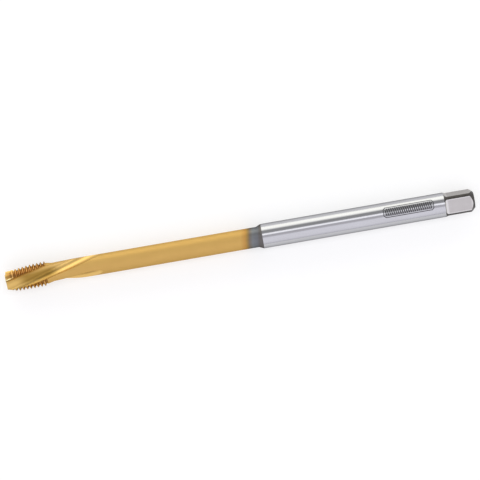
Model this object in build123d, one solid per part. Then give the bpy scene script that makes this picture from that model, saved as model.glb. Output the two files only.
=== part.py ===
from build123d import *
import math
import os

# A long-reach machine tap. It cuts a metric right-hand thread in through holes, and
# it is ground from one bar of tool steel. The tool is built standing on its tip, with
# its axis on Z, and is laid down at the end: its axis along X, the cutting end towards
# -X, and its largest diameter touching the plane Z = 0. Stations count from the tip.
# Lengths are in millimetres and angles in degrees.

# Whole tool
overall_length = 192.0
shank_diameter = 10.0
shank_length = 87.0  # from the shoulder's edge to the driven end
neck_diameter = 8.3
shoulder_angle = 25.0  # between the shoulder's cone and the axis
shoulder_rounding = 0.5

# Thread, M10 x 1.5, with the ISO 60 degree profile
thread_diameter = 10.0
thread_pitch = 1.5
thread_length = 16.5
thread_angle = 60.0
crest_share = 1 / 8  # width of the crest's flat, as a share of the pitch
root_share = 17 / 24  # depth of the thread, as a share of the sharp profile's height
thread_start = 1.35  # height of a crest at angle 0
turns_below = 2  # turns begun below the tip, so that the lead has whole turns
lead_length = 4.5  # chamfered lead at the tip
front_diameter = 7.5
back_length = 0.25  # steep end of the last turn
relief_diameter = 8.7  # behind the thread, tapering down to the waist
relief_length = 2.5
waist_diameter = 7.8  # slimmest place, widening again to the neck
waist_length = 9.0

# Flutes, left-hand, so that the chips are pushed ahead of the tool
flute_count = 3
flute_helix_angle = 15.0
flute_radius = 3.4
core_diameter = 4.2
wheel_radius = 125.0  # of the grinding wheel, which shapes the flutes' run-out
flute_stations = 24  # along the helix
wheel_clearance = 0.2  # between the wheel and the neck, where the flutes have run out

# Driving square
square_sides = 4
square_size = 8.0  # across the flats
square_length = 11.0
square_runout = 1.2  # radius left where the cutter stops, at the shank
square_turn = 2.5  # of one flat, from angle 0
end_chamfer = 1.8

# Lathe centres, one in each end
centre_angle = 60.0
front_centre_diameter = 2.65
front_pilot_diameter = 1.25
front_pilot_depth = 2.6
rear_centre_diameter = 3.35
rear_pilot_diameter = 1.6
rear_pilot_depth = 3.3
drill_point_angle = 118.0

# The roll in which the tool lies, about its own axis
rest_roll = 107.34

# Allowances that leave no trace on the tool
overlap = 0.1  # by which the ridge is sunk into the root and stands out of the crest
clearance = 1.0  # by which a cutter reaches past the metal
same_place = 0.01  # within which an edge counts as lying at a station

# Sizes that follow from those above
shank_radius = shank_diameter / 2
neck_radius = neck_diameter / 2
core_radius = core_diameter / 2
crest_radius = thread_diameter / 2
front_radius = front_diameter / 2
relief_radius = relief_diameter / 2
waist_radius = waist_diameter / 2
profile_height = thread_pitch / 2 / math.tan(math.radians(thread_angle / 2))
root_radius = crest_radius - profile_height * root_share
thread_end = thread_length + back_length
waist_start = thread_end + relief_length
shank_start = overall_length - shank_length
shoulder_length = (shank_radius - neck_radius) / math.tan(math.radians(shoulder_angle))


def turned(outline):
    """Solid of revolution about Z of a closed outline of (radius, height) points."""
    return revolve(make_face(Plane.XZ * Polyline(*outline, close=True)), Axis.Z)


def core_bar():
    """The bar with the thread at its root: lead, root, waist, neck, shoulder and shank."""
    root_height = (root_radius - front_radius) / (crest_radius - front_radius) * lead_length
    bar = turned([
        (0, 0),
        (front_radius, 0),
        (root_radius, root_height),
        (root_radius, thread_length),
        (relief_radius, thread_end),
        (waist_radius, waist_start),
        (neck_radius, waist_start + waist_length),
        (neck_radius, shank_start - shoulder_length),
        (shank_radius, shank_start),
        (shank_radius, overall_length - end_chamfer),
        (shank_radius - end_chamfer, overall_length),
        (0, overall_length),
    ])
    shoulder_edge = bar.edges().filter_by(GeomType.CIRCLE).filter_by_position(
        Axis.Z, shank_start - same_place, shank_start + same_place
    )
    return fillet(shoulder_edge, shoulder_rounding)


def thread_envelope():
    """What the crests may fill: the chamfered lead, the full diameter and the back."""
    return turned([
        (0, 0),
        (front_radius, 0),
        (crest_radius, lead_length),
        (crest_radius, thread_length),
        (relief_radius, thread_end),
        (0, thread_end),
    ])


def thread_turn():
    """One turn of the ridge: ruled faces between helices, closed by two end faces."""
    flank_slope = math.tan(math.radians(thread_angle / 2))
    start = thread_start - turns_below * thread_pitch
    crest_half = thread_pitch * crest_share / 2

    def corner(radius, side):
        """One corner of the ridge's section: a helix at a radius, on a flank."""
        half_width = crest_half + (crest_radius - radius) * flank_slope
        return Helix(thread_pitch, thread_pitch, radius, (0, 0, start + side * half_width))

    inner = root_radius - overlap
    outer = crest_radius + overlap
    corners = [corner(inner, -1), corner(outer, -1), corner(outer, 1), corner(inner, 1)]
    sides = [
        Face.make_surface_from_curves(corners[i - 1].edge(), corners[i].edge())
        for i in range(len(corners))
    ]
    ends = [
        Face(Wire.make_polygon([edge @ place for edge in corners])) for place in (0, 1)
    ]
    return Solid(Shell(sides + ends))


def thread_ridge():
    """The turns that reach from below the tip to the back, trimmed to their envelope."""
    count = math.ceil((thread_end - thread_start) / thread_pitch) + turns_below + 1
    envelope = thread_envelope()
    turn = thread_turn()
    turns = [Pos(0, 0, i * thread_pitch) * turn & envelope for i in range(count)]
    return [trimmed for trimmed in turns if trimmed]


def flute_cutter():
    """The round-nosed sweep of the wheel: a helix at full depth, then out on an arc."""
    turn_rate = math.degrees(math.tan(math.radians(flute_helix_angle)) / crest_radius)
    clear_radius = neck_radius + flute_radius + wheel_clearance
    deep_radius = core_radius + flute_radius
    rise = clear_radius - deep_radius
    runout = math.sqrt(rise * (2 * wheel_radius - rise))
    first = -flute_radius
    last = thread_end + runout

    def centre_at(height):
        """The cutter's centre at a height above the tip."""
        past = max(0, height - thread_end)
        radius = deep_radius + wheel_radius - math.sqrt(wheel_radius**2 - past**2)
        angle = math.radians(-turn_rate * height)
        return (radius * math.cos(angle), radius * math.sin(angle), height)

    step = (last - first) / (flute_stations - 1)
    path = Spline(*[centre_at(first + i * step) for i in range(flute_stations)])
    return sweep(Plane(path @ 0, z_dir=path % 0) * Circle(flute_radius), path=path)


def square_cutter():
    """What is milled off beside one flat, with the cutter's radius at the shank."""
    flat_start = overall_length - square_length
    half = square_size / 2
    outside = shank_radius + clearance
    top = overall_length + clearance
    section = Plane.XZ * make_face(Polyline(
        (half, flat_start - square_runout),
        (outside, flat_start - square_runout),
        (outside, top),
        (half, top),
        close=True,
    ))
    corner = section.vertices().sort_by(Axis.Z)[:2].sort_by(Axis.X)[0]
    section = fillet(corner, square_runout)
    return extrude(section, shank_radius + clearance, both=True)


def lathe_centre(mouth_diameter, pilot_diameter, pilot_depth):
    """A 60 degree centre hole, drilled upwards from Z = 0."""
    slope = math.tan(math.radians(centre_angle / 2))
    cone_depth = (mouth_diameter - pilot_diameter) / 2 / slope
    point_depth = pilot_diameter / 2 / math.tan(math.radians(drill_point_angle / 2))
    return turned([
        (0, -clearance),
        (mouth_diameter / 2 + clearance * slope, -clearance),
        (pilot_diameter / 2, cone_depth),
        (pilot_diameter / 2, pilot_depth),
        (0, pilot_depth + point_depth),
    ])


def thread_tap():
    """The whole tool, standing on its tip."""
    tool = core_bar() + thread_ridge()
    tool -= [Rot(0, 0, i * 360 / flute_count) * flute_cutter() for i in range(flute_count)]
    for i in range(square_sides):
        tool -= Rot(0, 0, square_turn + i * 360 / square_sides) * square_cutter()
    tool -= lathe_centre(front_centre_diameter, front_pilot_diameter, front_pilot_depth)
    rear = lathe_centre(rear_centre_diameter, rear_pilot_diameter, rear_pilot_depth)
    tool -= Pos(0, 0, overall_length) * Rot(180, 0, 0) * rear
    return tool


def laid_down(tool):
    """The tool lying along X, centred on the origin, with its lowest line at Z = 0."""
    lowest = max(shank_radius, crest_radius)
    return Pos(-overall_length / 2, 0, lowest) * Rot(0, 90, 0) * Rot(0, 0, rest_roll) * tool


os.makedirs("parts", exist_ok=True)
export_step(laid_down(thread_tap()), "parts/thread_tap.step")
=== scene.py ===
# %% [markdown] # A long-reach machine tap  A thread tap is a screw that cuts. It
# carries the thread that it is to make, three flutes are ground through that thread,
# and the edges left between thread and flutes shave the metal out of a drilled hole.
# This lesson makes the look of such a tap: one watertight surface that follows the
# sizes of the real tool, a gold titanium nitride coating on the cutting end, a
# heat-tinted band, a ground steel shank and a milled square. The tool lies on a white
# table in a light tent. The lesson needs numpy and Blender.

from math import acos, cos, degrees, pi, radians, sin, sqrt, tan

import bmesh
import bpy
import numpy as np
from mathutils import Matrix, Vector


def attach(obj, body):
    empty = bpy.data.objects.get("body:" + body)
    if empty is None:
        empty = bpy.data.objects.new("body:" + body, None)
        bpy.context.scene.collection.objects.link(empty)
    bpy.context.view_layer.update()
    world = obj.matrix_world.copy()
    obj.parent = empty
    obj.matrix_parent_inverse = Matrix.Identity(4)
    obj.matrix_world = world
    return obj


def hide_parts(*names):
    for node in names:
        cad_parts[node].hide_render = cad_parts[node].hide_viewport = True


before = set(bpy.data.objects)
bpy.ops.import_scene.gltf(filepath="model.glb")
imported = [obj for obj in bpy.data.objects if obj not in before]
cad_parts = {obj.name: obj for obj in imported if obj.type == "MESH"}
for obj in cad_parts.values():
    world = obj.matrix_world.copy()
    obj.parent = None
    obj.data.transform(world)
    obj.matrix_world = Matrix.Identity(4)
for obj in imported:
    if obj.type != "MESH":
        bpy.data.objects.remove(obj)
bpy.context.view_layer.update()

# %% [markdown]
# ## Sizes of the bar and its thread
#
# All sizes are in millimetres, as on a drawing, and turn into metres only when a mesh is
# written. A station is a distance from the tip along the tool's axis, and a name that
# ends in R is a radius. The thread is M10 x 1.5: its flanks stand at 60 degrees to each
# other, the flat of its crest is an eighth of the pitch wide, and it is cut to 17/24 of
# the height that sharp flanks would give.

# %% Sizes of the bar and its thread
MM = 1000  # millimetres in a metre
LENGTH = 192.0
SHANK_R, SHANK_START = 5.0, 105.0
NECK_R = 4.15
ROLL = radians(107.34)  # in which the tool lies, about its own axis

CREST_R = 5.0
PITCH = 1.5
FLANK = tan(radians(30))
ROOT_R = CREST_R - PITCH / 2 / FLANK * 17 / 24
CREST_HALF = PITCH / 16
CREST_START = 1.35  # height of a crest at angle 0
FRONT_R, LEAD = 3.75, 4.5
THREAD_LENGTH, THREAD_END = 16.5, 16.75
RELIEF_R = 4.35
WAIST_R, WAIST_START, WAIST_END = 3.9, 19.25, 28.25
print(f"thread depth {CREST_R - ROOT_R:.3f} mm")

# %% [markdown]
# ## The flutes
#
# The flutes carry the chips away. They wind to the left, against the thread, so that
# they push the chips ahead of the tool and out of a through hole.
#
# A flute could be carved out of the bar with a Boolean modifier, but that leaves long
# thin triangles along the cutting edges. Here it is worked out instead. A flute is the
# track of a grinding wheel with a rounded rim: the rim is a circle of 3.4 mm radius,
# and its centre travels on a left-hand helix while the tap turns. Past the thread the
# wheel lifts away on its own large radius, so the flute runs out in a long shallow
# tongue. Every point of its wall lies on a circle that is square to the helix, and that
# is the formula used.

# %% The wheel's track
FLUTES = 3
FLUTE_R, CORE_R = 3.4, 2.1
WHEEL_R, WHEEL_CLEARANCE = 125.0, 0.2
FLUTE_CENTRE = CORE_R + FLUTE_R
TURN_RATE = tan(radians(15)) / CREST_R
RUNOUT_RISE = NECK_R + WHEEL_CLEARANCE - CORE_R
RUNOUT_END = THREAD_END + sqrt(RUNOUT_RISE * (2 * WHEEL_R - RUNOUT_RISE))


def wheel_point(height, turn):
    """Radius and angle, at a height above the tip, of the point at an angle on the rim.

    The rim's centre is at C(s) = (c(s), -rate s, s) in radius, angle and height, where
    c is constant along the thread and then grows on the wheel's radius. The point is
    C + rim (cos(turn) n + sin(turn) b), with n pointing at the axis and b along the
    cut, both square to the helix. The station s is found by repeated substitution.
    """
    station = height
    for _ in range(5):
        past = np.clip(station - THREAD_END, 0, RUNOUT_END - THREAD_END)
        depth = np.sqrt(WHEEL_R**2 - past**2)
        centre = FLUTE_CENTRE + WHEEL_R - depth
        climb, swing = past / depth, -TURN_RATE * centre
        slant = climb**2 + swing**2 + 1
        n = np.array([-(1 - climb**2 / slant), climb * swing / slant, climb / slant])
        n = n / np.sqrt((n**2).sum(axis=0))
        b = np.array([n[1] - swing * n[2], climb * n[2] - n[0], swing * n[0] - climb * n[1]])
        b = b / np.sqrt(slant)
        offset = FLUTE_R * (np.cos(turn) * n + np.sin(turn) * b)
        station = height - offset[2]
    out, across = centre + offset[0], offset[1]
    return np.hypot(out, across), np.arctan2(across, out) - TURN_RATE * station


print(f"the flutes run out {RUNOUT_END:.1f} mm from the tip")

# %% [markdown]
# ## The edges of a flute
#
# The mesh needs a line of points exactly on the cutting edge, where the wall of a flute
# meets the bar. So this helper turns the question round: for a radius of the bar, it
# gives the place on the wheel's rim.

# %% The edges of a flute
NARROWEST, WIDEST = 0.17, 2.6  # angles on the rim


def flute_edge(height, radius, side):
    """Angle on the rim at which the flute's wall meets a bar of the given radius.

    The cosine law gives a first value, and four steps of Newton's rule with that law's
    slope correct it for the slant of the rim. Where the flute has run out, the angle
    stays at a narrow strip, so that the columns of the mesh never cross.
    """
    past = np.clip(height - THREAD_END, 0, RUNOUT_END - THREAD_END)
    centre = FLUTE_CENTRE + WHEEL_R - np.sqrt(WHEEL_R**2 - past**2)
    cosine = (centre**2 + FLUTE_R**2 - radius**2) / (2 * centre * FLUTE_R)
    turn = np.maximum(np.arccos(np.clip(cosine, -1, 1)), NARROWEST)
    for _ in range(4):
        reached = wheel_point(height, side * turn)[0]
        slope = centre * FLUTE_R * np.sin(turn) / reached
        turn = np.clip(turn + (radius - reached) / slope, NARROWEST, WIDEST)
    return side * turn


edges = [float(flute_edge(np.array(LEAD), np.array(r), 1)) for r in (ROOT_R, CREST_R)]
print("rim angle at the flute's edge, root and crest:", [round(degrees(e), 1) for e in edges])

# %% [markdown]
# ## The fluted section
#
# The whole tool is one grid of points, wrapped round the axis. Its columns follow the
# flutes: in each third, 20 columns climb out of one flute, 32 cross the land between
# two flutes, and 20 go down into the next. A grid that ignored the flutes would need
# many times the points and still show a ragged edge.

# %% Columns of the grid
FLUTE_COLUMNS, LAND_COLUMNS = 20, 32
SECTOR = 2 * FLUTE_COLUMNS + LAND_COLUMNS
COLUMNS = FLUTES * SECTOR
column = np.arange(COLUMNS + 1)
sector, place = column // SECTOR, column % SECTOR
leaving = place <= FLUTE_COLUMNS
arriving = place >= FLUTE_COLUMNS + LAND_COLUMNS
share = np.where(leaving, place, np.where(arriving, place - SECTOR, 0)) / FLUTE_COLUMNS
across_land = (place - FLUTE_COLUMNS) / LAND_COLUMNS


def fluted(height, radius):
    """Radius, angle and rim angle of one outline of the fluted bar, column by column.

    In a flute the point is on the wheel's track, but never outside the bar. On a land
    it is on the bar, spread evenly between the edges of the two flutes.
    """
    up, down = flute_edge(height, radius, 1), flute_edge(height, radius, -1)
    turn = np.where(leaving, share * up, -share * down)
    r, angle = wheel_point(height, turn)
    start = wheel_point(height, up)[1]
    stop = wheel_point(height, down)[1] + 2 * pi / FLUTES
    in_flute = leaving | arriving
    angle = np.where(in_flute, angle, start + across_land * (stop - start))
    angle = angle + 2 * pi / FLUTES * (sector + arriving)
    return np.where(in_flute, np.minimum(r, radius), radius), angle, turn


print("columns round the tool:", COLUMNS)

# %% [markdown]
# ## The threaded bar
#
# At any place on the tool, the surface is the higher of two things: the plain bar, and
# the ridge of the thread, cut off where the blank ended. The tip's chamfered lead cuts
# the first crests down, so that each tooth takes its own share of the metal.

# %% Bar, limit and ridge
ROOT_START = (ROOT_R - FRONT_R) / (CREST_R - FRONT_R) * LEAD


def bar_radius(height):
    """Radius of the bar below the thread's ridge: straight lines between stations."""
    return np.interp(
        height,
        [0, ROOT_START, THREAD_LENGTH, THREAD_END, WAIST_START, WAIST_END],
        [FRONT_R, ROOT_R, ROOT_R, RELIEF_R, WAIST_R, NECK_R],
    )


def crest_limit(height):
    """Radius that the crests reach: a cone in the lead, then full, then the back."""
    return np.interp(
        height, [0, LEAD, THREAD_LENGTH, THREAD_END], [FRONT_R, CREST_R, CREST_R, RELIEF_R]
    )


def thread_radius(height, angle):
    """Radius of the threaded bar: the ridge falls away from the crest's flat at 60
    degrees between its flanks, is cut off by the limit, and never goes below the bar."""
    along = height - CREST_START - PITCH * angle / (2 * pi)
    aside = np.abs((along + PITCH / 2) % PITCH - PITCH / 2)
    ridge = CREST_R - np.maximum(aside - CREST_HALF, 0) / FLANK
    return np.maximum(bar_radius(height), np.minimum(ridge, crest_limit(height)))


print(f"the bar is at the root's radius from {ROOT_START:.2f} mm")

# %% [markdown]
# ## Rows that climb with the thread
#
# Flat rings would cut every tooth at a slant, and its edges would be ragged unless the
# rings were very many. These rows climb with the thread instead: after one turn a row has
# risen by one pitch, so it becomes the row that starts one pitch higher. Sixteen rows
# make one pitch, four on the crest, four on the root and four on each flank. They sit on
# the creases of the profile, also in the lead, where the cone cuts the crests down and
# makes them wider.
#
# A row's place in the profile is a sum of three parts: so many halves of the crest's
# flat, so many halves of the ridge's foot, and so many whole pitches.

# %% Threaded rows
thirds, fifths = np.arange(4) / 3, np.arange(1, 5) / 5
nil, one = np.zeros(4), np.ones(4)
crest_part = np.concatenate([2 * thirds - 1, 1 - fifths, nil, -fifths])
foot_part = np.concatenate([nil, fifths, 1 - 2 * thirds, fifths - 1])
pitch_part = np.concatenate([nil, nil, thirds, one])
FOOT_HALF = CREST_HALF + (CREST_R - ROOT_R) * FLANK
NARROWEST_FLANK = 0.004
FIRST_TURN, LAST_TURN = -3, 11  # the first begins below the tip


def threaded_rows():
    """Height, radius, angle and rim angle of the rows that climb with the thread.

    A row's height is its start, plus its shares of half the crest and of half the foot,
    plus the rise with the angle. It depends on the angle, the angle of a flute's edge on
    the radius, and the radius on the height, so all three are found together by
    substitution. Rows that would start below the tip or end above the thread lie flat on
    those ends. Where the limit comes down to the bar, a flank keeps a sliver, so that its
    rows never cross.
    """
    turns = np.arange(FIRST_TURN, LAST_TURN + 1)[:, None]
    start = CREST_START + PITCH * (turns + pitch_part).reshape(-1, 1)
    crest = np.tile(crest_part, len(turns)).reshape(-1, 1)
    foot = np.tile(foot_part, len(turns)).reshape(-1, 1)
    angle = np.tile(2 * pi * column / COLUMNS, (len(start), 1))
    height = np.clip(start + PITCH * angle / (2 * pi), 0, THREAD_LENGTH)
    for _ in range(9):
        wider = (CREST_R - crest_limit(height)) * FLANK
        half = np.minimum(CREST_HALF + wider, FOOT_HALF - NARROWEST_FLANK)
        height = start + crest * half + foot * FOOT_HALF + PITCH * angle / (2 * pi)
        height = np.clip(height, 0, THREAD_LENGTH)
        radius, angle, turn = fluted(height, thread_radius(height, angle))
    return height, radius, angle, turn


thread = threaded_rows()
print("threaded rows:", thread[0].shape)

# %% [markdown]
# ## The run-out
#
# Behind the thread the rows are plain rings. The bar tapers down to a waist, which keeps
# the chips and the coolant moving, and widens again to the neck. The flutes run out over
# the same stretch. A Screw modifier could turn the bar's profile into such rings, but it
# can't dent them where a flute passes, so they come from the thread's own function.

# %% Run-out
def rings(*stretches):
    """Heights of evenly spaced rings, as a column: a stretch is (start, stop, count), and
    leaves out its start, where the last stretch ended."""
    return np.concatenate([np.linspace(a, b, n + 1)[1:] for a, b, n in stretches])[:, None]


run_out_height = 0 * column + rings(
    (THREAD_LENGTH, THREAD_END, 3),
    (THREAD_END, WAIST_START, 8),
    (WAIST_START, WAIST_END, 24),
    (WAIST_END, RUNOUT_END, 36),
)
run_out = (run_out_height, *fluted(run_out_height, bar_radius(run_out_height)))
print("rings of the run-out:", len(run_out_height))

# %% [markdown]
# ## The driving square
#
# A tap is turned by a square at its end. A milling cutter with a rounded corner makes
# the four flats, so each flat ends in a small hollow at the shank. Again the columns
# follow the edges: in each quarter 44 cross the flat and 10 the strip of the shank that
# is left at the corner. The 216 columns of the grid can be shared out in this way
# because they divide by three flutes and by four flats.

# %% Columns of the square
FLAT, FLAT_START, FLAT_TURN = 4.0, 181.0, radians(2.5)
CORNER_COLUMNS, FLAT_COLUMNS = 10, 44
QUADRANT = CORNER_COLUMNS + FLAT_COLUMNS
quarter, spot = column // QUADRANT, column % QUADRANT
first_corner = CORNER_COLUMNS // 2
last_corner = first_corner + FLAT_COLUMNS
FLAT_HALF_ANGLE = acos(FLAT / SHANK_R)


def square_angles(half):
    """Angles from the middle of the nearest flat, and from angle 0 of the tool.

    A flat's columns are evenly spaced on the flat, so their angle is an arc tangent.
    The corner's columns are evenly spaced on the shank.
    """
    on_flat = np.arctan((2 * (spot - first_corner) / FLAT_COLUMNS - 1) * np.tan(half))
    before = half + (pi / 4 - half) * (1 - spot / first_corner)
    after = half + (pi / 4 - half) * (spot - last_corner) / first_corner
    local = np.where(spot < first_corner, -before, np.where(spot > last_corner, after, on_flat))
    return local, local + FLAT_TURN + (quarter - 1) * pi / 2


print(f"a flat takes {2 * degrees(FLAT_HALF_ANGLE):.1f} degrees of the shank")

# %% [markdown]
# ## Neck and shoulder
#
# The neck is slimmer than the thread, so that it passes through the tapped hole, and a
# short cone leads up to the shank. Where the neck is round, nothing shows where a column
# runs. There the columns slide round it, from the places that the flutes gave them to
# those that the square needs. The cone ends in an arc that meets the shank without a
# crease: along it the slope falls from the cone's 25 degrees to nothing.

# %% Neck and shoulder
SHOULDER, SHOULDER_ROUNDING = radians(25), 0.5
SHOULDER_START = SHANK_START - (SHANK_R - NECK_R) / tan(SHOULDER)


def ease(x):
    """A smooth step from 0 to 1: three times x squared, less twice x cubed."""
    x = np.clip(x, 0, 1)
    return x * x * (3 - 2 * x)


neck_height = rings((RUNOUT_END, SHOULDER_START, 26)) + 0 * column
slide = ease((neck_height - RUNOUT_END) / (SHOULDER_START - RUNOUT_END))
neck_angle = (1 - slide) * run_out[2][-1] + slide * square_angles(FLAT_HALF_ANGLE)[1]
neck = (neck_height, NECK_R + 0 * neck_height, neck_angle)

tangent = SHOULDER_ROUNDING * tan(SHOULDER / 2)
bend = np.linspace(SHOULDER, 0, 7)[:, None]
shoulder_height = SHANK_START + tangent - SHOULDER_ROUNDING * np.sin(bend) + 0 * column
shoulder_radius = SHANK_R - SHOULDER_ROUNDING * (1 - np.cos(bend)) + 0 * column
shoulder_angle = square_angles(FLAT_HALF_ANGLE)[1] + 0 * shoulder_height
shoulder = (shoulder_height, shoulder_radius, shoulder_angle)
print(f"the shoulder's cone starts at {SHOULDER_START:.2f} mm")

# %% [markdown]
# ## Shank and hollows
#
# The cutter first touches the shank on the middle line of each flat and widens from
# there. So the columns of a flat close in along the last millimetres of the shank, and
# open out again with the hollow. Its floor is an arc of the cutter's corner, from where
# that meets the shank to where it has sunk to the flat.

# %% Shank and hollows
HOLLOW_R = 1.2
NARROW_HALF_ANGLE = radians(12)  # to which the columns of a flat close in
CLOSING_START = 176
HOLLOW_START = FLAT_START - sqrt(HOLLOW_R**2 - (FLAT + HOLLOW_R - SHANK_R) ** 2)

shank_rings = rings((SHANK_START + tangent, CLOSING_START, 10), (CLOSING_START, HOLLOW_START, 8))
closing = ease((shank_rings - CLOSING_START) / (HOLLOW_START - CLOSING_START))
shank_half = FLAT_HALF_ANGLE + (NARROW_HALF_ANGLE - FLAT_HALF_ANGLE) * closing
shank_height = shank_rings + 0 * column
shank = (shank_height, SHANK_R + 0 * shank_height, square_angles(shank_half)[1])

first_turn = acos((FLAT + HOLLOW_R - SHANK_R * cos(NARROW_HALF_ANGLE)) / HOLLOW_R)
cutter = np.linspace(first_turn, 0, 12)[:, None]
floor = FLAT + HOLLOW_R * (1 - np.cos(cutter))
local, hollow_angle = square_angles(np.arccos(floor / SHANK_R))
hollow_height = FLAT_START - HOLLOW_R * np.sin(cutter) + 0 * column
hollow = (hollow_height, np.minimum(SHANK_R, floor / np.cos(local)), hollow_angle)
print(f"the hollows start at {HOLLOW_START:.2f} mm")

# %% [markdown]
# ## Flats and chamfer
#
# The end chamfer is a cone, and a flat cuts a cone in a shallow arch. The last row of
# the flats follows that arch, which keeps its edge clean. A Bevel modifier would give
# the end a chamfer of one width all round, and so would miss the arches.

# %% Flats and chamfer
CHAMFER = 1.8
CHAMFER_START = LENGTH - CHAMFER

local, flat_angle = square_angles(FLAT_HALF_ANGLE)
flat_radius = np.minimum(SHANK_R, FLAT / np.cos(local))
arch = CHAMFER_START + SHANK_R - flat_radius
steps = np.linspace(0, 1, 7)[1:, None]
flats_height = FLAT_START + steps * (arch - FLAT_START)
flats = (flats_height, flat_radius + 0 * flats_height, flat_angle + 0 * flats_height)

steps = np.linspace(0, 1, 5)[1:, None]
chamfer_height = arch + steps * (LENGTH - arch)
chamfer_radius = SHANK_R - (chamfer_height - CHAMFER_START)
chamfer = (chamfer_height, chamfer_radius, flat_angle + 0 * chamfer_height)
print(f"arch of the chamfer on a flat: {arch.max() - arch.min():.2f} mm high")

# %% [markdown]
# ## The ends
#
# Both ends have a lathe centre, a 60 degree countersink with a pilot hole, in which the
# blank was held while it was ground. The face round it is a ring between the outline of
# the section and the mouth of the hole. A Boolean could drill the hole, but here the
# rows simply go on, over the face and down to a point, and close the surface.

# %% Ends
CENTRE_SLOPE, DRILL_POINT = tan(radians(30)), tan(radians(59))
FRONT_CENTRE = {"mouth": 1.325, "pilot": 0.625, "depth": 2.6}
REAR_CENTRE = {"mouth": 1.675, "pilot": 0.8, "depth": 3.3}


def centre_hole(mouth, pilot, depth):
    """Radii and depths of a lathe centre. The cone's depth is the radius that it loses,
    over its slope. Then the pilot goes straight down and ends in the drill's point."""
    cone = (mouth - pilot) / CENTRE_SLOPE
    point = depth + pilot / DRILL_POINT
    radii = np.array([mouth, (mouth + pilot) / 2, pilot, pilot, pilot, 0])
    depths = np.array([0, cone / 2, cone, (cone + depth) / 2, depth, point])
    return radii[:, None], depths[:, None]


def face_and_hole(outline_radius, angle, station, inward, hole):
    """Rows of an end: rings that shrink evenly from the outline to the hole, then the
    hole. Inward is 1 or -1, the way into the tool."""
    radii, depths = centre_hole(**hole)
    steps = np.linspace(0, 1, 6)[1:-1, None]
    face = outline_radius + steps * (radii[0] - outline_radius)
    r = np.vstack([face, radii + 0 * column])
    h = np.vstack([station + 0 * face, station + inward * depths + 0 * column])
    return h, r, angle + 0 * r


front = face_and_hole(thread[1][0], thread[2][0], 0.0, 1, FRONT_CENTRE)
front = tuple(part[::-1] for part in front)
rear = face_and_hole(chamfer[1][-1], flat_angle, LENGTH, -1, REAR_CENTRE)
print("rows of each end:", len(front[0]), len(rear[0]))

# %% [markdown]
# ## The whole grid
#
# The parts are stacked from the tip to the driven end. So far a point has a height, a
# radius and an angle. Now it gets its place in the frame, where the tool lies along X,
# centred on the origin, and touches the table with its largest diameter.

# %% The whole grid
parts = {
    "front": front,
    "thread": thread,
    "run-out": run_out,
    "neck": neck,
    "shoulder": shoulder,
    "shank": shank,
    "hollow": hollow,
    "flats": flats,
    "chamfer": chamfer,
    "rear": rear,
}
height, radius, angle = (np.vstack([part[i] for part in parts.values()]) for i in range(3))
side, lift = radius * np.sin(angle + ROLL), -radius * np.cos(angle + ROLL)
points = np.stack([height - LENGTH / 2, side, SHANK_R + lift], axis=-1) / MM
print("grid of the whole tool:", points.shape)

# %% [markdown]
# ## Which finish goes where
#
# The real tool is ground in several steps, and each leaves its own skin. The thread's
# flanks, the flutes and the neck are gold, but the flutes are ground finer. The shank is
# bright. The flats are ground after hardening, while the corners between them and the
# chamfer keep the dark skin of the hardening furnace. Masks painted on the surface could
# hold this, but the rows and columns of the grid already know it. So every cell gets
# the number of its finish, which becomes its material slot.

# %% Finish of every cell
FINISHES = ["thread", "flute", "neck", "shank", "flat", "dark skin", "turned end"]
FINISH_OF_PART = {
    "front": "thread",
    "thread": "thread",
    "run-out": "neck",
    "neck": "neck",
    "shoulder": "neck",
    "shank": "shank",
    "hollow": "flat",
    "flats": "flat",
    "chamfer": "dark skin",
    "rear": "turned end",
}
SKIN_DEEP = 0.01  # a flute that is shallower shows the neck's finish

part_of_row = np.repeat(list(parts), [len(part[0]) for part in parts.values()])
part_of_cell = part_of_row[1:].copy()
part_of_cell[: len(front[0])] = "front"
finish = np.array([FINISHES.index(FINISH_OF_PART[name]) for name in part_of_cell])
finish = np.repeat(finish[:, None], COLUMNS, axis=1)


def refinish(names, cells, new_finish):
    """Give another finish to the chosen cells, where they lie in the named parts."""
    finish[np.isin(part_of_cell, names)[:, None] & cells] = FINISHES.index(new_finish)


fluted_columns = (place[:-1] < FLUTE_COLUMNS) | arriving[:-1]
below_bar = radius < bar_radius(height) - SKIN_DEEP
ground_away = fluted_columns & below_bar[:-1, :-1] & below_bar[1:, :-1]
corner_columns = (spot[:-1] < first_corner) | (spot[:-1] >= last_corner)
refinish(["thread"], fluted_columns, "flute")
refinish(["run-out"], ground_away, "flute")
refinish(["hollow", "flats"], corner_columns, "dark skin")
print("cells:", {name: int((finish == i).sum()) for i, name in enumerate(FINISHES)})

# %% [markdown]
# ## The lay of the grinding lines
#
# Grinding lines need coordinates that follow the work: along a flute, or along the
# thread. A UV map holds them in millimetres. In a flute its numbers are the place on the
# wheel's rim and the height above the tip, so lines at one value of the first run along
# the flute, as the wheel's grains did. Elsewhere the first number counts the columns,
# and the second is the height less the thread's rise, so that lines at one value of it
# climb with the thread.

# %% Coordinates of the lay
COLUMN_WIDTH = 2 * pi * CREST_R / COLUMNS
first_row = len(front[0])
threaded = slice(first_row, first_row + len(thread[0]))
climbing = np.zeros_like(height)
climbing[threaded] = PITCH / (2 * pi)
lay = np.stack([COLUMN_WIDTH * column + 0 * height, height - climbing * angle], axis=-1)

rim_angle = np.vstack([thread[3], run_out[3]])
track = np.stack([COLUMN_WIDTH * column + 0 * height, height], axis=-1)
track[first_row : first_row + len(rim_angle), :, 0] = FLUTE_R * rim_angle
print("lay of the thread, from", lay[first_row, 0, 1].round(2), "mm")

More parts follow.
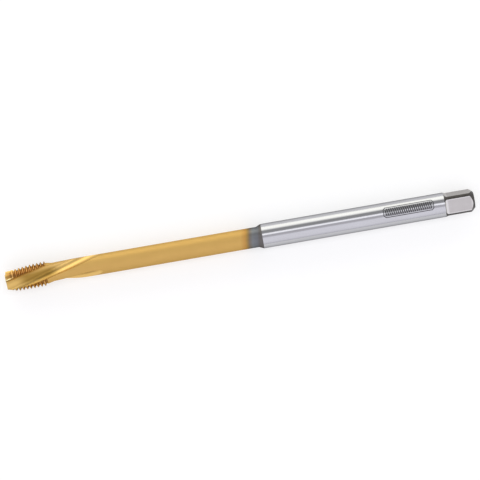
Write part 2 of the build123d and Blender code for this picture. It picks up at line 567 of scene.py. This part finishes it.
# %% [markdown]
# ## From grid to surface
#
# Each cell of the grid becomes one face. Points that lie on each other, at the seam, at
# the poles and where the thread's rows lie flat on the ends, are merged, which closes
# the surface. Creases sharper than 30 degrees stay sharp, and the rest is shaded
# smoothly. No modifier is needed, because the grid already has its final points.

# %% Mesh of the tool
def grid_mesh(name, points, finish, lay, track):
    """A closed mesh from a grid of points: cell (i, j) joins its four corners. Its UV map
    takes the track in a flute, and the lay elsewhere."""
    rows, columns = points.shape[:2]
    index = np.arange(rows * columns).reshape(rows, columns)
    faces = np.stack([index[:-1, :-1], index[:-1, 1:], index[1:, 1:], index[1:, :-1]], axis=-1)
    mesh = bpy.data.meshes.new(name)
    mesh.from_pydata(points.reshape(-1, 3), [], faces.reshape(-1, 4))
    mesh.polygons.foreach_set("material_index", finish.ravel().astype(np.int32))
    in_a_flute = (finish == FINISHES.index("flute"))[..., None, None]
    corners = np.where(in_a_flute, track.reshape(-1, 2)[faces], lay.reshape(-1, 2)[faces])
    mesh.uv_layers.new(name="lay").data.foreach_set("uv", corners.ravel().astype(np.float32))

    work = bmesh.new()
    work.from_mesh(mesh)
    bmesh.ops.remove_doubles(work, verts=work.verts, dist=1e-7)
    bmesh.ops.dissolve_degenerate(work, edges=work.edges, dist=1e-8)
    work.to_mesh(mesh)
    open_edges = sum(not edge.is_manifold for edge in work.edges)
    volume = work.calc_volume(signed=True) * MM**3
    work.free()
    mesh.shade_smooth()
    mesh.set_sharp_from_angle(angle=radians(30))
    print(f"{name}: {len(mesh.vertices)} points, {len(mesh.polygons)} faces")
    print(f"{name}: {open_edges} open edges, {volume:.0f} cubic mm")
    return mesh


tap = bpy.data.objects.new("tap", grid_mesh("tap", points, finish, lay, track))
bpy.context.collection.objects.link(tap)
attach(tap, "root")
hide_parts("thread_tap")

# %% [markdown]
# ## Writing shader sums as sums
#
# A material is a graph of nodes. Built by hand, one line of arithmetic takes a dozen
# lines of code, so this small class wraps a socket and turns Python's operators into
# Math nodes. Every other node comes from its method make.

# %% Signals
class Signal:
    """An output socket of a node tree. Sums and products of signals add Math nodes."""

    def __init__(self, tree, socket=None):
        self.tree, self.socket = tree, socket

    def make(self, kind, settings=None, values=None, out=0):
        """Add a node: first its settings, then a value or a link for each socket."""
        node = self.tree.nodes.new(kind)
        for name, value in (settings or {}).items():
            setattr(node, name, value)
        for name, value in (values or {}).items():
            socket = node.inputs[name]
            if isinstance(value, Signal):
                self.tree.links.new(value.socket, socket)
            else:
                socket.default_value = (*value, 1) if socket.type == "RGBA" else value
        return Signal(self.tree, node.outputs[out])

    def math(self, operation, *others):
        """A Math node on this signal, and on others where the operation takes them."""
        values = dict(enumerate((self, *others)))
        return self.make("ShaderNodeMath", {"operation": operation}, values)

    def __add__(self, other):
        return self.math("ADD", other)

    def __sub__(self, other):
        return self.math("SUBTRACT", other)

    def __rsub__(self, other):
        return self * -1 + other

    def __mul__(self, other):
        return self.math("MULTIPLY", other)

    def __truediv__(self, other):
        return self.math("DIVIDE", other)

    __radd__, __rmul__ = __add__, __mul__

    def rise(self, low, high):
        """0 below low, 1 above high, and a smooth step between them."""
        settings = {"interpolation_type": "SMOOTHSTEP"}
        values = {"Value": self, "From Min": low, "From Max": high}
        return self.make("ShaderNodeMapRange", settings, values)

    def parts(self):
        """The three numbers of a position."""
        first = self.make("ShaderNodeSeparateXYZ", {}, {0: self})
        return [Signal(self.tree, socket) for socket in first.socket.node.outputs]

    def stretch(self, x, y, z):
        """A position times a factor on each axis."""
        settings = {"operation": "MULTIPLY"}
        return self.make("ShaderNodeVectorMath", settings, {0: self, 1: (x, y, z)})

    def noise(self, detail):
        """Soft random values round 0.5, with about one swing in each unit of position."""
        values = {"Vector": self, "Scale": 1.0, "Detail": detail}
        return self.make("ShaderNodeTexNoise", {}, values)

    def blend(self, start, end):
        """The colour start where this signal is 0, and end where it is 1."""
        settings = {"data_type": "RGBA"}
        return self.make("ShaderNodeMix", settings, {0: self, 6: start, 7: end}, out=2)

    def times(self, other):
        """This colour times another, or times a grey."""
        settings = {"data_type": "RGBA", "blend_type": "MULTIPLY"}
        return self.make("ShaderNodeMix", settings, {0: 1.0, 6: self, 7: other}, out=2)

    def ramp(self, stops):
        """Colours along this signal, from (value, colour) stops with values of 0 to 1."""
        colors = self.make("ShaderNodeValToRGB", {}, {0: self})
        elements = colors.socket.node.color_ramp.elements
        while len(elements) < len(stops):
            elements.new(1.0)
        for element, (value, color) in zip(elements, stops):
            element.position, element.color = value, (*color, 1)
        return colors


print("methods of a signal:", [name for name in vars(Signal) if name[0] != "_"])

# %% [markdown]
# ## Colours
#
# Colours are easier to judge in screen values of 0 to 255, but nodes count in linear
# light. This helper turns the first into the second.

# %% Paint
def paint(red, green, blue):
    """A colour as linear values. Each is the 2.4th power of (screen + 0.055) / 1.055, where
    screen is the value as a share of 255. Close to black it is screen / 12.92."""
    screen = np.array([red, green, blue]) / 255
    linear = np.where(screen <= 0.04045, screen / 12.92, ((screen + 0.055) / 1.055) ** 2.4)
    return tuple(linear.tolist())


print("a gold, as linear values:", [round(value, 3) for value in paint(208, 166, 92)])

# %% [markdown]
# ## Places on the tool
#
# Patterns have to know where on the tool they are. The mesh lies untransformed at the
# origin, so its Object coordinates are the frame's own, in metres. From them come the
# station along the axis, and the polar coordinates round it, in millimetres and radians.
# All finishes are metals, so one class gives each the same coordinates.

# %% A metal and its coordinates
class Metal:
    """A metallic material, with the coordinates that its patterns are drawn in."""

    def __init__(self, name):
        self.material = bpy.data.materials.new(name)
        self.material.use_nodes = True
        tree = self.material.node_tree
        self.shader = tree.nodes["Principled BSDF"]
        self.shader.inputs["Metallic"].default_value = 1.0
        in_metres = Signal(tree).make("ShaderNodeTexCoord", out="Object")
        self.place = in_metres.stretch(MM, MM, MM)
        x, self.side, height = self.place.parts()
        self.station, self.lift = x + LENGTH / 2, height - SHANK_R
        self.turn = self.lift.math("ARCTAN2", self.side)
        self.reach = (self.side * self.side + self.lift * self.lift).math("SQRT")
        self.lay = self.place.make("ShaderNodeUVMap", {"uv_map": "lay"})

    def link(self, **signals):
        """Signals for the shader's varying sockets: base_color is Base Color."""
        for name, signal in signals.items():
            socket = self.shader.inputs[name.replace("_", " ").title()]
            signal.tree.links.new(signal.socket, socket)

    def rim(self, level):
        """How bright the metal is where it is seen at a grazing angle."""
        self.shader.inputs["Specular Tint"].default_value = (level, level, level, 1)

    def groove(self, pattern, depth):
        """Bumps in the shape of a pattern, with their depth in millimetres."""
        values = {"Height": pattern, "Distance": depth / MM, "Strength": 1.0}
        self.link(normal=pattern.make("ShaderNodeBump", {}, values))


print("the middle of the tool is at station", LENGTH / 2, "mm")

# %% [markdown]
# ## Gold on the thread
#
# Titanium nitride is laid on in a vacuum, a few thousandths of a millimetre thick. It copies the
# steel below it, so its colour is nearly the same all over the tool, and what differs is how the
# steel was ground. The valleys of the thread get a browner, darker gold than the crests: painted
# shade, for the valleys that lie in the shadow of the teeth. The grinding lines climb with the
# thread, along the second number of the lay. They are drawn as noise that is stretched a lot one
# way, because an image of scratches would have to be fitted to the helix by hand.
#
# On the lead the back edge of each land carries a bright line: a painted glint, where that edge
# catches the light. The columns of the grid, as counted by the lay, say where that edge is.

# %% Gold on the thread
thread_gold = Metal("gold, thread")
# Painted shade: the valleys of the thread are painted browner and darker than the crests.
crest = thread_gold.reach.rise(ROOT_R + 0.1, CREST_R - 0.15)
tone = crest.blend(paint(186, 140, 78), paint(219, 173, 107))
on_lead = 1 - thread_gold.station.rise(0.0, 1.5)
tone = on_lead.blend(tone, paint(208, 170, 98))

columns_along = thread_gold.lay.parts()[0] / COLUMN_WIDTH
share_of_sector = (columns_along / SECTOR).math("FRACT")
back_edge = (FLUTE_COLUMNS + LAND_COLUMNS) / SECTOR
at_edge = share_of_sector.rise(back_edge - 0.07, back_edge - 0.05)
on_lands = thread_gold.station.rise(0.01, 0.06) * thread_gold.reach.rise(2, 3)
# Painted glint: a bright line along the back edge of each land on the lead.
painted_edge_glint = at_edge * on_lands * (1 - thread_gold.station.rise(1.8, 3.4))
tone = painted_edge_glint.blend(tone, paint(255, 238, 172))

lines = thread_gold.lay.stretch(0.4, 18, 1).noise(3)
thread_gold.link(base_color=tone.times(0.92 + 0.16 * lines), roughness=0.3 + 0.1 * lines)
thread_gold.rim(0.2)
thread_gold.groove(lines, 0.004)
print("the back edge of a land is at", round(back_edge, 3), "of a sector")

# %% [markdown]
# ## Gold in the flutes
#
# The flutes are ground along their helix with a fine wheel, so they shine more than the neck and
# their lines run lengthwise, along the first number of the lay. Between the lands they are deep,
# and there the gold is painted darker and more olive: painted shade in the depth of the flutes.
# Where the flutes run out into the neck, the gold is painted lighter: a painted highlight. Their
# very end is a skin-deep scratch, in which the neck's own finish comes back.

# %% Gold in the flutes
flute_gold = Metal("gold, flutes")
cloud = flute_gold.place.stretch(0.35, 0.35, 0.35).noise(2)
tone = cloud.blend(paint(210, 172, 98), paint(218, 182, 110))
# Painted highlight: the flutes are painted lighter where they run out into the neck, from 17 to
# 24 mm.
runout_painted_highlight = flute_gold.station.rise(17, 24)
tone = runout_painted_highlight.blend(tone, paint(229, 190, 116))
# Painted shade: the gold darkens to olive towards the bottom of the flutes, from 3 to 9 mm on.
painted_flute_shade = (1 - flute_gold.reach.rise(2.2, 3.9)) * flute_gold.station.rise(3, 9)
tone = (painted_flute_shade * (1 - runout_painted_highlight)).blend(tone, paint(158, 124, 58))
ending = flute_gold.station.rise(RUNOUT_END - 2.4, RUNOUT_END - 0.6)
tone = ending.blend(tone, paint(213, 176, 104))

lines = flute_gold.lay.stretch(7, 0.12, 1).noise(3)
flute_gold.link(
    base_color=tone.times(0.92 + 0.16 * lines),
    roughness=0.31 + 0.06 * lines + 0.26 * ending,
)
flute_gold.rim(0.35)
flute_gold.groove(lines, 0.004)
print("the olive gold fades from 17 to 24 mm")

# %% [markdown]
# ## The neck, from gold to bare
#
# The neck is gold up to some seven millimetres before the shoulder. There the tool sat in its
# holder while it was coated, so the gold thins out through brown and olive to bare steel, which
# the hardening furnace left blue grey. The edge of the coating isn't quite square to the axis.
# The neck was ground round and round, so its lines run across the axis, and it is rougher than
# the flutes. Two colour ramps along the axis draw the fade: one darkens the gold, and the other
# is the bare steel. The bare steel's last stops grow darker towards the shoulder's cone: painted
# shade on the cone.

# %% Neck
FADE_START, FADE_LENGTH = 95.0, 12.0


def along_fade(*stops):
    """Stops by their distance past the start of the fade, in millimetres."""
    return [(distance / FADE_LENGTH, color) for distance, color in stops]


neck_metal = Metal("gold to bare steel, neck")
cloud = neck_metal.place.stretch(0.12, 0.25, 0.25).noise(3)
gold = cloud.blend(paint(207, 169, 99), paint(215, 178, 106))
place_in_fade = neck_metal.station - 0.14 * neck_metal.side + 0.8 * cloud - 0.4
fade = (place_in_fade - FADE_START) / FADE_LENGTH
thinning = fade.ramp(
    along_fade(
        (1.2, (1, 1, 1)),
        (3.0, (0.86, 0.76, 0.7)),
        (4.0, (0.62, 0.62, 0.6)),
    )
)
# The last stops darken towards the shoulder's cone: painted shade.
bare = fade.ramp(
    along_fade(
        (4.6, paint(126, 112, 94)),
        (6.2, paint(122, 125, 128)),
        (8.2, paint(112, 114, 118)),
        (8.9, paint(107, 104, 103)),
    )
)
uncoated = fade.rise(3.5 / FADE_LENGTH, 5.2 / FADE_LENGTH)
tone = uncoated.blend(gold.times(thinning), bare)

lines = neck_metal.place.stretch(9, 0.1, 0.1).noise(2)
neck_metal.link(
    base_color=tone.times(0.95 + 0.1 * lines),
    roughness=0.55 + 0.1 * lines - 0.14 * uncoated,
)
neck_metal.rim(0.35)
neck_metal.groove(lines, 0.003)
print("the coating ends near", FADE_START + 4, "mm")

# %% [markdown]
# ## The shank, with an etched field
#
# The shank is ground to a few thousandths of a millimetre, because it runs in a chuck,
# and it mirrors the room in long bands. Its fine lines run round it. Near the square, a
# laser has etched a frame with a hatched field in it. It is the kind of place where
# suppliers put their own words, and it stays without any.
#
# The etching has no depth to speak of, so it is drawn by the material. The field is
# drawn as a distance: negative inside a rectangle with cut corners, and zero on its
# border. A band of that distance is the frame, and all that lies deeper is the field.

# %% Shank
FIELD_MIDDLE, FIELD_LENGTH, FIELD_HEIGHT, FIELD_CUT = 165.0, 20.8, 4.5, 0.9
FIELD_TURN = radians(83.5)
LINE, GAP, SOFT = 0.3, 0.36, 0.06
HATCH_PITCH, HATCH_SLANT = 0.8, 0.55

shank_steel = Metal("ground steel, shank")
cloud = shank_steel.place.stretch(0.08, 0.3, 0.3).noise(3)
steel = cloud.blend(paint(185, 185, 187), paint(194, 194, 198))
lines = shank_steel.place.stretch(14, 0.08, 0.08).noise(2)

across = (shank_steel.turn - FIELD_TURN) * SHANK_R
past_side = across.math("ABSOLUTE") - FIELD_HEIGHT / 2
past_end = (shank_steel.station - FIELD_MIDDLE).math("ABSOLUTE") - FIELD_LENGTH / 2
past_corner = (past_side + past_end + FIELD_CUT) * sqrt(0.5)
border = past_side.math("MAXIMUM", past_end).math("MAXIMUM", past_corner)
frame_line = (1 - border.rise(-SOFT, 0)) * border.rise(-LINE - SOFT, -LINE)
hatched = 1 - border.rise(-LINE - GAP - SOFT, -LINE - GAP)
wave = ((shank_steel.station + HATCH_SLANT * across) / HATCH_PITCH).math("FRACT")
bars = wave.rise(0.04, 0.12) * (1 - wave.rise(0.66, 0.74))
etched = frame_line.math("MAXIMUM", hatched * bars)

burnt = shank_steel.place.stretch(9, 9, 9).noise(2).blend(paint(34, 34, 36), paint(62, 62, 64))
shank_steel.link(
    base_color=etched.blend(steel.times(0.96 + 0.08 * lines), burnt),
    metallic=1 - etched,
    roughness=0.1 + 0.06 * lines + 0.4 * etched,
)
shank_steel.rim(0.35)
shank_steel.groove(lines, 0.002)
print("etched field:", FIELD_LENGTH, "x", FIELD_HEIGHT, "mm, round station", FIELD_MIDDLE)

# %% [markdown]
# ## The flats
#
# The flats are ground with the face of a cup wheel, which leaves a fine matt grain and a
# slightly warm grey. Their borders are painted lighter: a painted highlight, where the bends at
# the shank, the end and the corners catch the light. A border is a place near the shank, near
# the end or near a corner, and the highest of those three counts. Worked out from places, the
# painted highlight stays right when a size of the square changes.

# %% Flats
flat_steel = Metal("ground steel, flats")
lines = flat_steel.place.stretch(6, 1.2, 1.2).noise(3)
cloud = flat_steel.place.stretch(0.3, 0.3, 0.3).noise(2)
tone = cloud.blend(paint(179, 175, 173), paint(191, 188, 186))
# Painted highlight: the borders of the flats are painted lighter, near the shank, the end and
# the corners.
near_shank = 1 - flat_steel.station.rise(FLAT_START - 0.4, FLAT_START + 0.6)
near_end = flat_steel.station.rise(LENGTH - 1.8, LENGTH - 0.6)
near_corner = flat_steel.reach.rise(SHANK_R - 0.3, SHANK_R - 0.02)
painted_lighter = near_shank.math("MAXIMUM", near_end).math("MAXIMUM", near_corner)
tone = painted_lighter.blend(tone, paint(213, 211, 209))
flat_steel.link(base_color=tone.times(0.93 + 0.14 * lines), roughness=0.26 + 0.12 * lines)
flat_steel.rim(0.65)
flat_steel.groove(lines, 0.003)
print("the flats are worn to", FLAT_START + 0.6, "mm")

# %% [markdown]
# ## Corners, chamfer and end
#
# The corners between the flats and the chamfer were never ground after hardening and
# keep a dark skin, a little cloudy. The end face shows the rings of the lathe, and so
# do the walls of its centre hole: a sine of the distance from the axis draws them.

# %% Dark skin and turned end
RINGS = 60  # radians of the sine in a millimetre

dark_skin = Metal("dark skin, corners and chamfer")
cloud = dark_skin.place.stretch(0.8, 0.8, 0.8).noise(4)
tone = cloud.blend(paint(55, 52, 51), paint(90, 87, 86))
dark_skin.link(base_color=tone, roughness=0.3 + 0.1 * cloud)

turned_end = Metal("turned steel, end face")
cloud = turned_end.place.stretch(0.5, 0.5, 0.5).noise(3)
tone = cloud.blend(paint(120, 118, 118), paint(150, 149, 150))
turned_end.link(base_color=tone, roughness=0.3 + 0.1 * cloud)
turned_end.groove((turned_end.reach * RINGS).math("SINE"), 0.002)
print(f"a ring every {2 * pi / RINGS:.2f} mm")

# %% [markdown]
# ## Slots of the mesh
#
# The cells of the grid hold the numbers of their finishes, so the materials go into the
# slots of the mesh in that same order.

# %% Materials of the tool
metals = {
    "thread": thread_gold,
    "flute": flute_gold,
    "neck": neck_metal,
    "shank": shank_steel,
    "flat": flat_steel,
    "dark skin": dark_skin,
    "turned end": turned_end,
}
for name in FINISHES:
    tap.data.materials.append(metals[name].material)
print("materials:", [material.name for material in tap.data.materials])

# %% [markdown]
# ## The table
#
# The tool lies on a plain white table. Lit by the tent, its colour renders as a light
# grey. A glow that the camera and mirroring metal see, and that lights nothing else,
# lifts it to white and leaves the soft shadow along the tool. More light would whiten
# the table too, but it would burn out the tool.

# %% Table
TABLE_HALF, TABLE_GREY, TABLE_GLOW = 4.0, 0.46, 0.57
corners = TABLE_HALF * np.array([(-1, -1, 0), (1, -1, 0), (1, 1, 0), (-1, 1, 0)])
table_mesh = bpy.data.meshes.new("table")
table_mesh.from_pydata(corners, [], [(0, 1, 2, 3)])
table = bpy.data.objects.new("table", table_mesh)
bpy.context.collection.objects.link(table)

white = bpy.data.materials.new("white table")
white.use_nodes = True
paths = Signal(white.node_tree).make("ShaderNodeLightPath").socket.node.outputs
camera_ray, glossy_ray, clear_ray = [
    Signal(white.node_tree, paths[name])
    for name in ("Is Camera Ray", "Is Glossy Ray", "Is Transmission Ray")
]
seen = camera_ray.math("MAXIMUM", glossy_ray).math("MAXIMUM", clear_ray)
inputs = white.node_tree.nodes["Principled BSDF"].inputs
inputs["Base Color"].default_value = (TABLE_GREY, TABLE_GREY, TABLE_GREY, 1)
inputs["Roughness"].default_value = 0.9
inputs["Specular IOR Level"].default_value = 0.0
inputs["Emission Color"].default_value = (1, 1, 1, 1)
white.node_tree.links.new((TABLE_GLOW * seen).socket, inputs["Emission Strength"])
table_mesh.materials.append(white)
print("table:", 2 * TABLE_HALF, "m wide")

# %% [markdown]
# ## The light tent
#
# A shiny bar can't simply be lit, it has to be given something to mirror. Photographers
# put it in a tent of white cloth with gaps in it, and each panel and each gap becomes a
# long band on the bar. Lamps with real panels could do it, but here the tent is the
# world's colour, which costs no noise and lights every view alike. It depends on the
# angle round the tool's axis, from the near horizon at 0 degrees, over the top at 90, to
# the far one at 180, and it fades to plain white towards the two ends of the axis. The
# ramp holds half of each level, so that its colours stay below 1, and the strength of
# the background doubles them again.

# %% Tent
TENT_LEVEL, RAMP_TOP = 1.12, 2
panels = [
    (0, (0.66, 0.65, 0.70)),
    (7, (0.80, 0.79, 0.84)),
    (16, (0.95, 0.94, 1.00)),
    (30, (1.02, 1.01, 1.08)),
    (66, (1.02, 1.01, 1.08)),
    (73, (0.66, 0.65, 0.69)),
    (90.5, (0.60, 0.59, 0.63)),
    (94.5, (1.50, 1.50, 1.55)),
    (105, (1.50, 1.50, 1.55)),
    (109, (0.42, 0.42, 0.43)),
    (134, (0.38, 0.38, 0.38)),
    (144, (1.20, 1.20, 1.16)),
    (152, (1.65, 1.65, 1.54)),
    (172, (1.65, 1.65, 1.54)),
    (180, (1.55, 1.55, 1.46)),
]
stops = [(turn / 180, tuple(level / RAMP_TOP for level in color)) for turn, color in panels]

tent = bpy.data.worlds.new("light tent")
bpy.context.scene.world = tent
tent.use_nodes = True
direction = Signal(tent.node_tree).make("ShaderNodeTexCoord", out="Generated")
x, y, z = direction.parts()
cloth = (z.math("ARCTAN2", y * -1) / pi).ramp(stops)
near_ends = x.math("ABSOLUTE").rise(0.75, 0.95)
color = near_ends.blend(cloth, (1 / RAMP_TOP, 1 / RAMP_TOP, 1 / RAMP_TOP))
inputs = tent.node_tree.nodes["Background"].inputs
tent.node_tree.links.new(color.socket, inputs["Color"])
inputs["Strength"].default_value = TENT_LEVEL * RAMP_TOP
print("tent:", len(panels), "stops")

# %% [markdown]
# ## The camera
#
# The camera looks almost straight down on the middle of the tool, from 1.2 m and
# through a long lens, so the tool shows next to no perspective. It is turned a little,
# so that the tool climbs to the right. Its three axes are worked out from the elevation
# and the tilt, which Euler angles would hide.

# %% Camera
DISTANCE, AIM, LENS = 1.2, -0.00004, 222.5  # metres, and the lens in millimetres
ELEVATION, TILT = radians(86.5), radians(9.807)
camera = bpy.data.objects.new("camera", bpy.data.cameras.new("camera"))
bpy.context.collection.objects.link(camera)
camera.data.lens = LENS
along, level_up = Vector((1, 0, 0)), Vector((0, sin(ELEVATION), cos(ELEVATION)))
right = cos(TILT) * along - sin(TILT) * level_up
up = sin(TILT) * along + cos(TILT) * level_up
back = right.cross(up)
middle = Vector((0, 0, SHANK_R / MM)) + AIM * right
turned = Matrix((right, up, back)).transposed().to_4x4()
camera.matrix_world = Matrix.Translation(middle + DISTANCE * back) @ turned
bpy.context.scene.camera = camera
bpy.context.scene.view_settings.view_transform = "Standard"
print("camera at", [round(value, 3) for value in camera.matrix_world.translation])

# %% [markdown]
